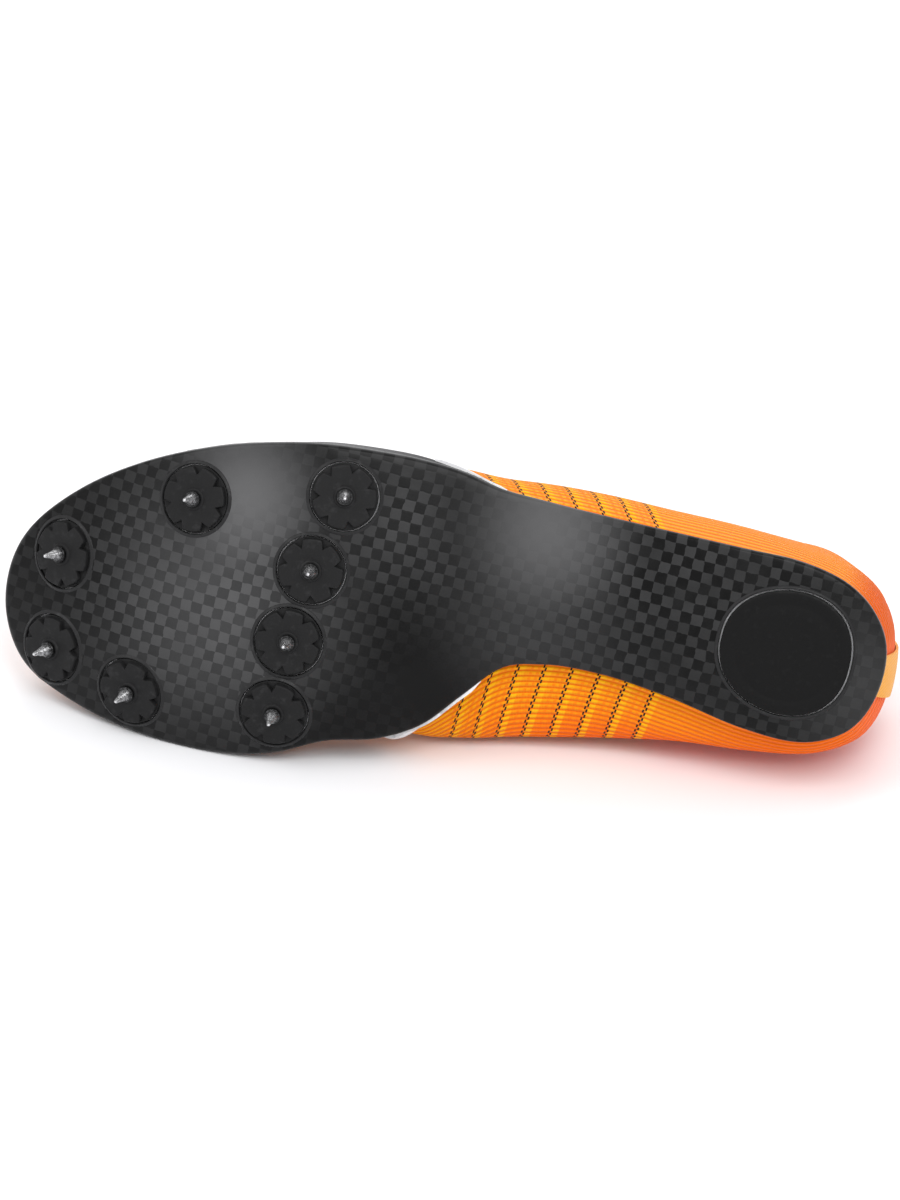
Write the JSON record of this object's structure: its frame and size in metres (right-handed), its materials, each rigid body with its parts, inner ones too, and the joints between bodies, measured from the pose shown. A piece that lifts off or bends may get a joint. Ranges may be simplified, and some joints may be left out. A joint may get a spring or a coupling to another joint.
{
  "type": "track spike shoe",
  "caption": "Low-cut sprint track spike for the left foot, with a knit upper, laced throat, carbon sole plate with side wings, round rubber pods and steel cone pins.",
  "frame": {"origin": "bottom centre of the bounding box, on the ground under the shoe lying on its medial side", "axes": "-X to the toe, -Y out of the sole, which faces 22 degrees up, +Z to the lateral side of the foot"},
  "size_m": [0.2858, 0.1008, 0.1002],
  "materials": {
    "carbon": "woven carbon fibre under a clear gloss coat",
    "pod_rubber": "matt black rubber",
    "steel": "turned steel",
    "white_foam": "white foam",
    "orange_knit": "ribbed knit, yellow to orange",
    "yellow_tape": "woven tape",
    "insole_cloth": "brushed cloth over foam",
    "lace_cloth": "flat woven lace"
  },
  "bodies": {
    "root": {"outsole_plate": "carbon", "foam_layer": "white_foam", "insole": "insole_cloth", "upper": "orange_knit", "tongue": "orange_knit", "heel_tape": "yellow_tape", "heel_pad": "pod_rubber", "lace_bar_1": "lace_cloth", "lace_bar_2": "lace_cloth", "lace_bar_3": "lace_cloth", "lace_bar_4": "lace_cloth", "lace_bar_5": "lace_cloth", "lace_bar_6": "lace_cloth", "spike_pod_1": "pod_rubber", "spike_pin_1": "steel", "spike_pod_2": "pod_rubber", "spike_pin_2": "steel", "spike_pod_3": "pod_rubber", "spike_pin_3": "steel", "spike_pod_4": "pod_rubber", "spike_pin_4": "steel", "spike_pod_5": "pod_rubber", "spike_pin_5": "steel", "spike_pod_6": "pod_rubber", "spike_pin_6": "steel", "spike_pod_7": "pod_rubber", "spike_pin_7": "steel", "spike_pod_8": "pod_rubber", "spike_pin_8": "steel"}
  },
  "joints": []
}
